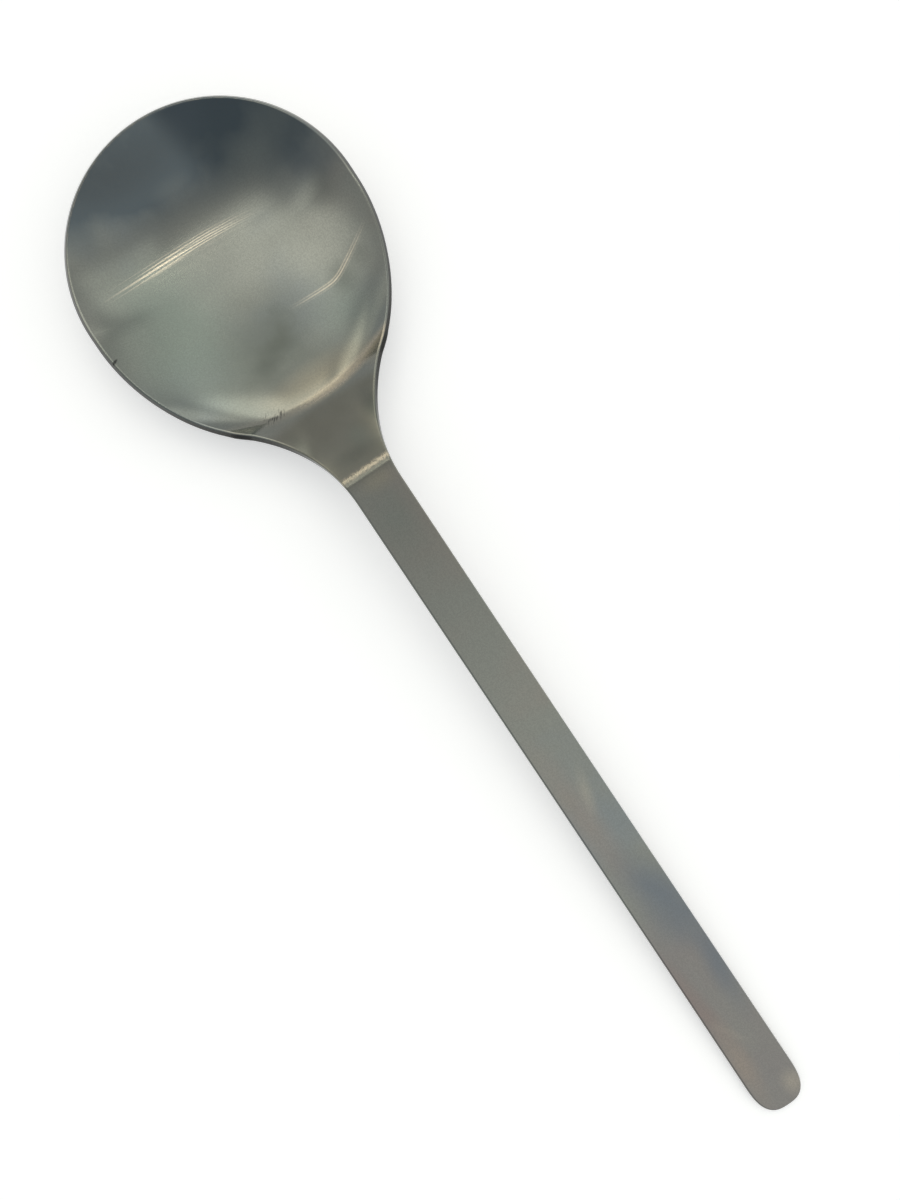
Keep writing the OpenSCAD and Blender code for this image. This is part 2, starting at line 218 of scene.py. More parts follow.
class Sheet:
    """The pressed sheet as functions of reach, the distance from the bowl's far rim, and side."""

    FLOOR_BEND_POWER = 3
    BOW_ROUNDS = 6
    PROBE = 0.01 * MILLIMETRE

    def __init__(self, sizes):
        self.sizes = sizes
        self.mouth_radius = sizes.mouth_width / 2
        self.floor_tangent = math.tan(sizes.floor_angle)
        power = sizes.wall_steepness
        wall = sizes.rim_height - sizes.sheet_thickness
        low_share = (self.floor_tangent * self.mouth_radius / (power * wall)) ** (1 / (power - 1))
        floor_drop = self.floor_tangent * self.mouth_radius * low_share - wall * low_share ** power
        self.floor_middle = sizes.sheet_thickness + floor_drop
        front_wall = sizes.rim_height - self.floor_middle + self.floor_tangent * self.mouth_radius
        rim_angle = math.atan(power * front_wall / self.mouth_radius)
        rim_flare = ((sizes.sheet_thickness - sizes.edge_radius) * math.sin(rim_angle)
                     - sizes.edge_radius * math.cos(rim_angle) + sizes.edge_radius)
        self.front = rim_flare + self.mouth_radius
        self.low_point = self.front - self.mouth_radius * low_share
        self.side = self.front + sizes.widest_length
        both = sizes.side_radius + sizes.neck_fillet_radius
        offset = sizes.handle_neck_width / 2 - self.mouth_radius + both
        self.fillet = self.side + math.sqrt(both ** 2 - offset ** 2)
        self.tangent = self.side + (self.fillet - self.side) * sizes.side_radius / both
        self.handle_fold = sizes.neck_fold_reach + sizes.neck_length
        self.neck_tangent = math.tan(sizes.neck_angle)
        bend_slope = self.FLOOR_BEND_POWER * sizes.floor_bend_lift / sizes.floor_bend_length
        self.bend_tangent = self.floor_tangent + bend_slope
        neck_fold_height = (self.floor_middle + sizes.floor_bend_lift
                            + self.floor_tangent * (sizes.neck_fold_reach - self.front))
        self.handle_fold_height = neck_fold_height + self.neck_tangent * sizes.neck_length
        run = sizes.overall_length - sizes.edge_radius - self.handle_fold
        moment = self.handle_fold_height * run
        run_square = run ** 2 - sizes.sheet_thickness ** 2
        height_square = self.handle_fold_height ** 2 - sizes.sheet_thickness ** 2
        self.handle_tangent = (math.sqrt(moment ** 2 - run_square * height_square) - moment) / run_square
        self.tip = sizes.overall_length - sizes.tip_length
        self.fold_half_width = float(self.half_width(np.array(sizes.neck_fold_reach - sizes.neck_fold_bow)))

    def half_width(self, reach):
        sizes = self.sizes
        share = (reach - self.fillet) / (self.tip - self.fillet)
        tip_share = np.clip((reach - self.tip) / sizes.tip_length, 0, 1)
        tip_width = (1 - tip_share ** sizes.tip_squareness) ** (1 / sizes.tip_squareness)
        bar = (sizes.handle_neck_width * (1 - share) * (1 - 2 * share)
               + sizes.handle_middle_width * 4 * share * (1 - share)
               + sizes.handle_tip_width * share * (2 * share - 1)) / 2 * tip_width
        front = np.sqrt(np.maximum(0, self.mouth_radius ** 2 - (reach - self.front) ** 2))
        sides = self.mouth_radius - sizes.side_radius + np.sqrt(
            np.maximum(0, sizes.side_radius ** 2 - (reach - self.side) ** 2))
        fillet = sizes.handle_neck_width / 2 + sizes.neck_fillet_radius - np.sqrt(
            np.maximum(0, sizes.neck_fillet_radius ** 2 - (reach - self.fillet) ** 2))
        return np.select(
            [reach < self.front, reach < self.side, reach < self.tangent, reach < self.fillet],
            [front, self.mouth_radius, sides, fillet], bar)

    def centre_height(self, reach):
        sizes = self.sizes
        past = reach - sizes.neck_fold_reach
        bend = np.maximum(0, 1 + np.minimum(0, past) / sizes.floor_bend_length) ** self.FLOOR_BEND_POWER
        floor_reach = np.minimum(reach, sizes.neck_fold_reach) - self.front
        return (self.floor_middle + self.floor_tangent * floor_reach
                + sizes.floor_bend_lift * bend + self.bend_tangent * np.maximum(0, past)
                + fold_height(past, self.neck_tangent - self.bend_tangent, sizes.neck_fold_length))

    def edge_height(self, reach):
        sizes = self.sizes
        dip = sizes.neck_fold_reach - sizes.neck_fold_bow
        bowl = eased_height((reach - self.front) / (dip - self.front), dip - self.front,
                            sizes.rim_height, sizes.rim_dip_height, 0, 0)
        neck = eased_height((reach - dip) / (self.handle_fold - dip), self.handle_fold - dip,
                            sizes.rim_dip_height, self.handle_fold_height, 0, self.neck_tangent)
        handle = self.handle_fold_height + self.neck_tangent * (reach - self.handle_fold)
        return np.select([reach < self.front, reach < dip, reach < self.handle_fold],
                         [sizes.rim_height, bowl, neck], handle)

    def bow(self, reach, side):
        """Distance by which the neck's fold is drawn towards the bowl off the centreline."""
        sizes = self.sizes
        return (sizes.neck_fold_bow * (side / self.fold_half_width) ** 2
                * smooth_share(1 - (sizes.neck_fold_reach - reach) / (sizes.neck_fold_reach - self.side))
                * smooth_share((self.handle_fold - reach) / sizes.neck_length))

    def height(self, reach, side):
        """Height of the sheet's upper face."""
        sizes = self.sizes
        floor = self.floor_middle + self.floor_tangent * (reach - self.front)
        front_share = np.hypot(reach - self.front, side) / self.mouth_radius
        front = blend(floor, sizes.rim_height, front_share ** sizes.wall_steepness)
        wall_reach = np.minimum(reach, self.handle_fold)
        wall_share = np.abs(side) / np.maximum(self.half_width(wall_reach), self.PROBE)
        wall = self.edge_height(wall_reach) - self.centre_height(wall_reach)
        rest = (self.centre_height(reach + self.bow(reach, side)) + wall * wall_share ** sizes.wall_steepness
                + fold_height(reach - self.handle_fold, self.handle_tangent - self.neck_tangent,
                              sizes.handle_fold_length))
        return np.where(reach < self.front, front, rest) - self.sag(reach, side)

    def sag(self, reach, side):
        """Depth by which the floor sags between its low point and the neck's fold."""
        share = np.clip((reach - self.low_point) / (self.sizes.neck_fold_reach - self.low_point), 0, 1)
        spread = np.clip(np.abs(side) / np.maximum(self.half_width(reach), self.PROBE), 0, 1)
        return self.sizes.floor_sag * 4 * share * (1 - share) * (1 - smooth_share(spread))

    def normal(self, reach, side):
        """Direction square to the upper face."""
        step = self.PROBE
        rise_along = self.height(reach + step, side) - self.height(reach - step, side)
        rise_across = self.height(reach, side + step) - self.height(reach, side - step)
        return unit(np.stack([-rise_along, -rise_across, np.full_like(rise_along, 2 * step)], -1))

    def outline_normal(self, reach, hand):
        """Direction in plan, square to the outline and out of the sheet, behind the bowl's widest place."""
        step = self.PROBE
        slope = self.half_width(reach - step) - self.half_width(reach + step)
        return unit(np.stack([slope, hand * 2 * step * np.ones_like(slope)], -1))

    def edge_inset(self, reach, side, outward):
        """Shift in plan from where the cut edge starts to round to the outline."""
        normal = self.normal(reach, side)
        lean = np.sum(outward * normal[..., :2], -1, keepdims=True)
        return self.sizes.edge_radius * (outward - normal[..., :2] * lean) / np.sqrt(1 - lean ** 2)

    def row_reach(self, reach, side):
        """Reach, off the centreline, of a line across the sheet that bows as the fold does."""
        bowed = reach
        for _ in range(self.BOW_ROUNDS):
            bowed = reach - self.bow(bowed, side)
        return bowed

    def row_end_reach(self, reach):
        """Reach at which that line meets the outline."""
        end = reach
        for _ in range(self.BOW_ROUNDS):
            end = self.row_reach(reach, self.half_width(end))
        return end


def across_rows(sheet, reach, across):
    """Places on rows that cross the sheet at the given reaches, with across from -1 to 1.

    The outermost places lie one edge radius inside the outline, where the cut edge starts to round.
    """
    end = sheet.row_end_reach(reach)
    hand = np.where(across < 0, -1.0, 1.0)
    outward = sheet.outline_normal(end, hand)
    half_width = sheet.half_width(end)
    inset = sheet.edge_inset(end, hand * half_width, outward)
    inset_share = np.where(reach > sheet.tip, 1, across ** 2)
    places = sheet.row_reach(reach, across * half_width) - inset_share * inset[..., 0]
    sides = across * (half_width - np.abs(inset[..., 1]))
    on_outline = (np.abs(across) > 1 - SAME_SHARE)[..., None]
    return places, sides, np.where(on_outline, outward, 0)


def deselect_all():
    for piece in bpy.context.selected_objects:
        piece.select_set(False)


def select_boundary(piece):
    """Selects the open edges of a piece in edit mode."""
    bpy.ops.object.mode_set(mode="EDIT")
    bpy.ops.mesh.select_mode(type="EDGE")
    bpy.ops.mesh.select_all(action="DESELECT")
    bpy.ops.mesh.select_non_manifold(
        extend=False, use_wire=False, use_boundary=True, use_multi_face=False,
        use_non_contiguous=False, use_verts=False)


def positions(piece):
    found = np.empty(len(piece.data.vertices) * 3)
    piece.data.vertices.foreach_get("co", found)
    return found.reshape(-1, 3)


def set_positions(piece, points):
    piece.data.vertices.foreach_set("co", points.ravel())
    piece.data.update()


def read_attribute(piece, name, kind):
    found = np.empty(len(piece.data.vertices), dtype=kind)
    piece.data.attributes[name].data.foreach_get("value", found)
    return found


def cut_edge_levels(thickness, radius):
    """Turn, way out and depth of each line of the cut edge, from the upper face to the underside."""
    quarter = [math.pi / 2 * step / EDGE_STEPS for step in range(EDGE_STEPS + 1)]
    upper = [(turn, radius * math.sin(turn), radius * (1 - math.cos(turn))) for turn in quarter]
    lower = [(math.pi - turn, out, thickness - depth) for turn, out, depth in reversed(upper)]
    return upper[1:] + lower


def press_piece(context, name, columns, rows, lay_out):
    """Presses one stretch of the sheet from a flat grid.

    lay_out turns the grid's columns and rows into reach, side and the outline's outward direction. The
    grid becomes the upper face, its border is extruded round the cut edge, and a copy is turned over
    for the underside. At a fold the border has no outward direction, so it runs straight down there.
    """
    settings = context.scene.spoon_sizes
    sheet = Sheet(settings)
    deselect_all()
    bpy.ops.mesh.primitive_grid_add(x_subdivisions=columns, y_subdivisions=rows, size=1)
    piece = context.active_object
    piece.name = piece.data.name = name
    grid = positions(piece) + 0.5
    reach, side, outward = lay_out(sheet, np.rint(grid[:, 0] * columns), np.rint(grid[:, 1] * rows))
    top = np.stack([reach - settings.overall_length / 2, side, sheet.height(reach, side)], -1)
    normal = sheet.normal(reach, side)
    outward = np.concatenate([outward, np.zeros((len(outward), 1))], -1)
    outlined = np.linalg.norm(outward, axis=-1, keepdims=True) > 0
    outward = np.where(outlined, unit(outward - normal * np.sum(outward * normal, -1, keepdims=True)), 0)
    piece.data.attributes.new("place", "INT", "POINT").data.foreach_set("value", np.arange(len(grid)))
    for attribute in ("turn", "depth"):
        piece.data.attributes.new(attribute, "FLOAT", "POINT")
    set_positions(piece, top)
    merge_all(piece)
    upper_count = len(piece.data.polygons)

    select_boundary(piece)
    for turn, out, depth in cut_edge_levels(settings.sheet_thickness, settings.edge_radius):
        bpy.ops.mesh.extrude_edges_move()
        move_selected(piece, top, turn, depth, out * outward - depth * normal)
    bpy.ops.object.mode_set(mode="OBJECT")
    for face in piece.data.polygons:
        face.select = face.index < upper_count
    bpy.ops.object.mode_set(mode="EDIT")
    bpy.ops.mesh.select_mode(type="FACE")
    bpy.ops.mesh.duplicate()
    move_selected(piece, top, math.pi, settings.sheet_thickness, -settings.sheet_thickness * normal)
    merge_all(piece)
    bpy.ops.object.mode_set(mode="EDIT")
    bpy.ops.mesh.select_all(action="SELECT")
    bpy.ops.mesh.normals_make_consistent(inside=False)
    bpy.ops.object.mode_set(mode="OBJECT")
    smooth_and_mark_cut_edge(piece, normal, outward)
    return piece


def merge_all(piece):
    bpy.ops.object.mode_set(mode="EDIT")
    bpy.ops.mesh.select_all(action="SELECT")
    bpy.ops.mesh.remove_doubles(threshold=MERGE_DISTANCE)
    bpy.ops.object.mode_set(mode="OBJECT")


def move_selected(piece, top, turn, depth, shift):
    """Moves the selected vertices from their places on the upper face, in edit mode."""
    bpy.ops.object.mode_set(mode="OBJECT")
    chosen = np.empty(len(piece.data.vertices), dtype=bool)
    piece.data.vertices.foreach_get("select", chosen)
    here = read_attribute(piece, "place", np.int32)[chosen]
    points = positions(piece)
    points[chosen] = top[here] + shift[here]
    set_positions(piece, points)
    for name, value in (("turn", turn), ("depth", depth)):
        values = read_attribute(piece, name, np.float32)
        values[chosen] = value
        piece.data.attributes[name].data.foreach_set("value", values)
    bpy.ops.object.mode_set(mode="EDIT")


def smooth_and_mark_cut_edge(piece, normal, outward):
    """Gives every vertex the sheet's own normal, so reflections run on over a fold, and marks how far round
    the cut edge each vertex lies, where the rim's painted highlight and the painted dark outline go.
    """
    mesh = piece.data
    bpy.ops.object.shade_smooth()
    here = read_attribute(piece, "place", np.int32)
    turn = read_attribute(piece, "turn", np.float32)[:, None]
    facing = unit(normal[here] * np.cos(turn) + outward[here] * np.sin(turn))
    depth = read_attribute(piece, "depth", np.float32)
    level = np.linalg.norm(outward[here], axis=-1, keepdims=True) == 0
    facing = np.where(level, normal[here] * np.where(turn > math.pi / 2, -1, 1), facing)
    mesh.normals_split_custom_set_from_vertices([tuple(direction) for direction in facing])
    edge_turn = mesh.attributes.new("edge_turn", "FLOAT", "POINT")
    edge_turn.data.foreach_set("value", (turn / math.pi).ravel().astype(np.float32))
    mesh.attributes.new("edge_depth", "FLOAT", "POINT").data.foreach_set("value", depth)
    for name in ("place", "turn", "depth"):
        mesh.attributes.remove(mesh.attributes[name])


def finish_piece(context, piece, node):
    piece.data.materials.clear()
    piece.data.materials.append(satin_steel(context))
    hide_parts(node)
    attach(piece, "root")


def crowded_to_ends(share):
    """Rows that lie close together at both ends, where the sheet is folded."""
    return (1 - np.cos(math.pi * share)) / 2


class AddBowl(bpy.types.Operator):
    """Press the shallow round bowl"""

    bl_idname = "spoon.add_bowl"
    bl_label = "Bowl"

    SIDE_COLUMNS = 50
    FRONT_COLUMNS = 200
    RINGS = 90

    def execute(self, context):
        columns = 2 * self.SIDE_COLUMNS + self.FRONT_COLUMNS + FOLD_COLUMNS
        piece = press_piece(context, "spoon_bowl", columns, self.RINGS, self.lay_out)
        finish_piece(context, piece, "bowl")
        return {"FINISHED"}

    def lay_out(self, sheet, column, ring):
        """Rings about the middle of the mouth's round front, close together near the rim and the fold."""
        rim_reach, rim_side, outward = self.rim(sheet, column)
        share = np.sin(math.pi / 2 * ring / self.RINGS)
        on_rim = (ring == self.RINGS)[:, None]
        return blend(sheet.front, rim_reach, share), rim_side * share, np.where(on_rim, outward, 0)

    def rim(self, sheet, column):
        """The bowl's border: one side, round the front, the other side, and back along the neck's fold."""
        end = float(sheet.row_end_reach(np.array(sheet.sizes.neck_fold_reach)))
        front_start = self.SIDE_COLUMNS
        front_end = front_start + self.FRONT_COLUMNS
        fold_start = front_end + self.SIDE_COLUMNS

        def inside(reach, side, outward):
            inset = sheet.edge_inset(reach, side, outward)
            return reach - inset[:, 0], side - inset[:, 1], outward

        def beside(reach, hand):
            return inside(reach, hand * sheet.half_width(reach), sheet.outline_normal(reach, hand))

        def share(start, end):
            return np.clip((column - start) / (end - start), 0, 1)

        angle = math.pi * (0.5 + share(front_start, front_end))
        round_outward = np.stack([np.cos(angle), np.sin(angle)], -1)
        rim = sheet.mouth_radius * round_outward
        stretches = [
            beside(blend(end, sheet.front, share(0, front_start)), 1.0),
            inside(sheet.front + rim[:, 0], rim[:, 1], round_outward),
            beside(blend(sheet.front, end, share(front_end, fold_start)), -1.0),
            across_rows(sheet, np.full_like(column, sheet.sizes.neck_fold_reach),
                        blend(-1, 1, share(fold_start, fold_start + FOLD_COLUMNS))),
        ]
        which = [column <= front_start, column <= front_end, column < fold_start]
        reach, side, outward = zip(*stretches)
        return (np.select(which, reach[:3], reach[3]), np.select(which, side[:3], side[3]),
                np.select([test[:, None] for test in which], outward[:3], outward[3]))


class AddNeck(bpy.types.Operator):
    """Press the neck between the two folds"""

    bl_idname = "spoon.add_neck"
    bl_label = "Neck"

    ROWS = 120

    def execute(self, context):
        piece = press_piece(context, "spoon_neck", FOLD_COLUMNS, self.ROWS, self.lay_out)
        finish_piece(context, piece, "neck")
        return {"FINISHED"}

    def lay_out(self, sheet, column, row):
        reach = blend(sheet.sizes.neck_fold_reach, sheet.handle_fold, crowded_to_ends(row / self.ROWS))
        return across_rows(sheet, reach, blend(-1, 1, column / FOLD_COLUMNS))


class AddHandle(bpy.types.Operator):
    """Press the long flat handle and its rounded tip"""

    bl_idname = "spoon.add_handle"
    bl_label = "Handle"

    FOLD_ROWS = 20
    BAR_ROWS = 160
    TIP_ROWS = 60

    def execute(self, context):
        rows = self.FOLD_ROWS + self.BAR_ROWS + self.TIP_ROWS
        piece = press_piece(context, "spoon_handle", FOLD_COLUMNS, rows, self.lay_out)
        finish_piece(context, piece, "handle")
        return {"FINISHED"}

    def lay_out(self, sheet, column, row):
        tip_start = self.FOLD_ROWS + self.BAR_ROWS
        fold_end = sheet.handle_fold + sheet.sizes.handle_fold_length / 2
        turn = math.pi / 2 * np.clip((row - tip_start) / self.TIP_ROWS, 0, 1)
        reach = np.select(
            [row < self.FOLD_ROWS, row < tip_start],
            [blend(sheet.handle_fold, fold_end, row / self.FOLD_ROWS),
             blend(fold_end, sheet.tip, (row - self.FOLD_ROWS) / self.BAR_ROWS)],
            sheet.tip + sheet.sizes.tip_length * np.sin(turn))
        places, sides, outward = across_rows(sheet, reach, blend(-1, 1, column / FOLD_COLUMNS))
        at_end = row == tip_start + self.TIP_ROWS
        return (np.where(at_end, reach - sheet.sizes.edge_radius, places), np.where(at_end, 0, sides),
                np.where(at_end[:, None], [1.0, 0.0], outward))


class Wiring:
    """Adds nodes to a material or world and links them in one call each."""

    def __init__(self, tree):
        self.tree = tree
        tree.nodes.clear()

    def add(self, kind, output=0, inputs=None, **settings):
        node = self.tree.nodes.new(kind)
        for name, value in settings.items():
            setattr(node, name, value)
        for name, value in (inputs or {}).items():
            socket = node.inputs[name]
            if isinstance(value, bpy.types.NodeSocket):
                self.tree.links.new(value, socket)
            else:
                socket.default_value = value
        return node.outputs[output] if output is not None else node

    def maths(self, operation, first, second=0.0, third=0.0):
        return self.add("ShaderNodeMath", operation=operation, inputs={0: first, 1: second, 2: third})

    def parts(self, vector):
        """X, Y and Z of a vector."""
        return self.add("ShaderNodeSeparateXYZ", output=None, inputs={"Vector": vector}).outputs[:3]

    def distance(self, first, second):
        return self.maths("ABSOLUTE", self.maths("SUBTRACT", first, second))

    def product(self, first, *others):
        for other in others:
            first = self.maths("MULTIPLY", first, other)
        return first

    def mixed(self, share, first, second):
        return self.add("ShaderNodeMix", output=2, data_type="RGBA", inputs={
            0: share, 6: opaque(first), 7: opaque(second)})

    def mapped(self, value, low, high, new_low=0.0, new_high=1.0):
        """A smooth step of a value from one range to another."""
        return self.add("ShaderNodeMapRange", interpolation_type="SMOOTHSTEP", inputs={
            "Value": value, "From Min": low, "From Max": high, "To Min": new_low, "To Max": new_high})

    def band(self, value, low, high, soft):
        """1 between two values and 0 outside them, with soft borders."""
        return self.product(self.mapped(value, low - soft, low + soft),
                            self.mapped(value, high + soft, high - soft))

    def place(self, centre=(0, 0, 0), size=(1, 1, 1), turn=0.0):
        """Object coordinates about a centre, turned about the vertical and measured in sizes."""
        coordinates = self.add("ShaderNodeTexCoord", output="Object")
        return self.add("ShaderNodeMapping", vector_type="TEXTURE", inputs={
            "Vector": coordinates, "Location": centre, "Rotation": (0, 0, turn), "Scale": size})

    def noise(self, vector, scale, detail=2.0, roughness=0.5):
        return self.add("ShaderNodeTexNoise", inputs={
            "Vector": vector, "Scale": scale, "Detail": detail, "Roughness": roughness})

    def spot(self, centre, size, turn=0.0, soft=1.0):
        """A soft spot, 1 in its middle and 0 at its border, of a given length and width."""
        vector = self.place(centre, (*size, FAR_SIZE), turn)
        far = self.add("ShaderNodeVectorMath", output="Value", operation="LENGTH", inputs={0: vector})
        return self.mapped(far, 1.0 - soft, 1.0, 1.0, 0.0)


def opaque(color):
    """A plain colour with its opacity, or a colour that comes from a node as it is."""
    return color if isinstance(color, bpy.types.NodeSocket) else (*color, 1.0)


CLOUD_SCALE = 28.0
CLOUD_STRETCH = 1.4
CLOUD_MIDDLE = 0.5
CLOUD_BLUE = 0.72
CLOUD_BROWN = 0.28
CLOUD_SHARE = 0.6
WOBBLE_SCALE = 90.0
WOBBLE_RANGE = (0.3, 0.7)
WOBBLE_SHARES = (0.7, 1.0)
GRAIN_SCALE = 2500.0
GRAIN_RANGE = (0.35, 0.65)
GRAIN_SHARE = 0.16
ROUGHNESS_RANGE = (0.2, 0.8)
ROUGHNESS_CHANGE = 0.03
FOLD_ROUGHNESS = 0.2
LINE_STRETCH = 150
LINE_TURN = math.radians(-1.5)


def satin_steel(context):
    """Dark satin steel with soft heat tints, painted shade and painted reflections, fine lines across the
    spoon, painted highlight lines in the bowl, rubbed edges with painted highlights along the folds and rim,
    and a painted dark outline on the cut edge.
    """
    name = "satin_steel"
    if name in bpy.data.materials:
        return bpy.data.materials[name]
    finish = context.scene.spoon_finish
    sizes = context.scene.spoon_sizes
    material = bpy.data.materials.new(name)
    material.use_nodes = True
    wiring = Wiring(material.node_tree)
    folds = fold_wear_and_sheen(wiring, sizes)
    ridge = press_ridge_and_highlight(wiring, finish)
    color = heat_tints_and_painted_light(wiring, finish, sizes.overall_length / 2)
    # Painted highlight along each fold's ridge, with its rubbed finish.
    color = wiring.mixed(folds, color, finish.worn_and_sheen_color)
    color = wiring.mixed(scuffs(wiring), color, finish.burr_and_shade_color)
    color = edge_colors(wiring, finish, color)
    # Painted highlight lines across the bowl where a lamp's streak lies.
    color = wiring.mixed(painted_highlight_lines(wiring, finish), color, finish.line_color)
    # Painted highlight along the low ridge in the bowl.
    color = wiring.mixed(ridge, color, finish.line_color)
    grain = wiring.noise(wiring.place(), GRAIN_SCALE, detail=2.0)
    color = wiring.mixed(wiring.mapped(grain, *GRAIN_RANGE, 0.0, GRAIN_SHARE), color, finish.grain_color)

    roughness = wiring.add("ShaderNodeMapRange", inputs={
        "Value": grain, "From Min": ROUGHNESS_RANGE[0], "From Max": ROUGHNESS_RANGE[1],
        "To Min": finish.roughness - ROUGHNESS_CHANGE, "To Max": finish.roughness + ROUGHNESS_CHANGE})
    roughness = wiring.maths("MULTIPLY_ADD", folds, FOLD_ROUGHNESS, roughness)
    line_place = wiring.place(size=(1, LINE_STRETCH, FAR_SIZE), turn=LINE_TURN)
    lines = wiring.noise(line_place, 1 / finish.line_spacing, detail=2.0)
    press_height = wiring.product(ridge, finish.mark_height)
    line_height = wiring.maths("MULTIPLY_ADD", lines, finish.line_depth, press_height)
    grain_height = wiring.maths("MULTIPLY_ADD", grain, finish.grain_depth, line_height)
    line_bump, grain_bump = [
        wiring.add("ShaderNodeBump", inputs={"Height": height, "Strength": 1.0, "Distance": 1.0})
        for height in (line_height, grain_height)]
    shader = wiring.add("ShaderNodeBsdfPrincipled", inputs={
        "Base Color": color, "Metallic": 1.0, "Roughness": roughness, "Normal": grain_bump,
        "Coat Weight": finish.coat_weight, "Coat Roughness": finish.coat_roughness,
        "Coat Normal": line_bump})
    wiring.add("ShaderNodeOutputMaterial", output=None, inputs={"Surface": shader})
    return material


def heat_tints_and_painted_light(wiring, finish, middle):
    """The steel's colour, clouded with blue and brown, with its patches of heat tint and its patches of
    painted shade, painted reflection and painted glow.
    """
    cloud = wiring.noise(wiring.place(size=(1, CLOUD_STRETCH, 1)), CLOUD_SCALE, detail=4.0)
    color = finish.steel_color
    for end, cloud_color in ((CLOUD_BLUE, finish.blue_color), (CLOUD_BROWN, finish.brown_color)):
        share = wiring.mapped(cloud, CLOUD_MIDDLE, end, 0.0, CLOUD_SHARE)
        color = wiring.mixed(share, color, cloud_color)
    wobble = wiring.noise(wiring.place(), WOBBLE_SCALE, detail=4.0)
    wobble = wiring.mapped(wobble, *WOBBLE_RANGE, *WOBBLE_SHARES)
    for tint in TINTS_AND_PAINTED_LIGHT:
        spot = wiring.spot((tint.reach - middle, tint.side, 0), tint.size, tint.turn, tint.soft)
        share = wiring.product(spot, wobble, tint.share)
        color = wiring.mixed(share, color, getattr(finish, f"{tint.color}_color"))
    return color


RIM_LINE_TURN = (0.14, 0.27)
RIM_LINE_SOFT = 0.07
RIM_LINE_FADE = (-130 * MILLIMETRE, -100 * MILLIMETRE)
RIM_LINE_SHARES = (1.0, 0.15)
RIM_WEAR_SCALE = 700.0
RIM_WEAR_RANGE = (0.35, 0.65)
RIM_WEAR_SHARES = (0.2, 1.0)
EDGE_TURN = (0.3, 0.44)
FLAT_DEPTH = (0.32 * MILLIMETRE, 0.5 * MILLIMETRE)
# The bowl's front, where the cut edge's flat is spared the painted dark outline.
FRONT_SPOT = ((-141 * MILLIMETRE, 12 * MILLIMETRE, 0), (42 * MILLIMETRE, 42 * MILLIMETRE), 0, 0.5)
FRONT_SHARE = 0.15


def edge_colors(wiring, finish, color):
    """The colour with the rim's painted highlight line and the cut edge, whose flat is painted near black as
    a dark outline but for the bowl's front.
    """
    turn, depth = [wiring.add("ShaderNodeAttribute", output="Fac", attribute_name=name)
                   for name in ("edge_turn", "edge_depth")]
    reach = wiring.parts(wiring.place())[0]
    worn_and_sheen = wiring.noise(wiring.place(), RIM_WEAR_SCALE, detail=4.0)
    worn_and_sheen = wiring.mapped(worn_and_sheen, *RIM_WEAR_RANGE, *RIM_WEAR_SHARES)
    line = wiring.product(wiring.band(turn, *RIM_LINE_TURN, RIM_LINE_SOFT),
                          wiring.mapped(reach, *RIM_LINE_FADE, *RIM_LINE_SHARES), worn_and_sheen)
    # Painted highlight on the rim's rounding, broken up by rim wear.
    color = wiring.mixed(line, color, finish.rim_color)
    color = wiring.mixed(wiring.mapped(turn, *EDGE_TURN), color, finish.edge_color)
    # Painted shade: the cut edge's flat is darkened into a dark outline, but for the bowl's front.
    behind = wiring.mapped(wiring.spot(*FRONT_SPOT), 1, 0, FRONT_SHARE, 1.0)
    flat = wiring.product(wiring.mapped(depth, *FLAT_DEPTH), behind)
    return wiring.mixed(flat, color, finish.burr_and_shade_color)


SCUFF_TURN = math.radians(146)
SCUFF_STRETCH = 5
SCUFF_SPACING = 0.45 * MILLIMETRE
SCUFF_RANGE = (0.51, 0.62)
SCUFF_SHARE = 0.75
SCUFF_SPOT = ((-67.2 * MILLIMETRE, -11 * MILLIMETRE, 0), (2.4 * MILLIMETRE, 3.6 * MILLIMETRE), 0, 0.6)


def scuffs(wiring):
    """Share of the few dark scuffs at the left end of the neck's fold."""
    place = wiring.place(size=(SCUFF_STRETCH, 1, FAR_SIZE), turn=SCUFF_TURN)
    strands = wiring.noise(place, 1 / SCUFF_SPACING, detail=1.0)
    strands = wiring.mapped(strands, *SCUFF_RANGE, 0.0, SCUFF_SHARE)
    return wiring.product(strands, wiring.spot(*SCUFF_SPOT))


class FoldWearAndSheen:
    """Wear and painted highlight along a fold: its shift and width, its share at two sides, and its share
    between the specks.
    """

    def __init__(self, shift, width, shares, between):
        self.shift = shift * MILLIMETRE
        self.width = width * MILLIMETRE
        self.shares = shares
        self.between = between


NECK_FOLD_WEAR_AND_SHEEN = FoldWearAndSheen(0.4, 2.2, (0.2, 1.0), 0.75)
HANDLE_FOLD_WEAR_AND_SHEEN = FoldWearAndSheen(-0.8, 1.2, (0.6, 1.0), 0.15)
FOLD_WEAR_AND_SHEEN_SIDES = (-12 * MILLIMETRE, 8 * MILLIMETRE)
FOLD_SPECK_SCALE = 1500.0
FOLD_SPECK_RANGE = (0.35, 0.6)


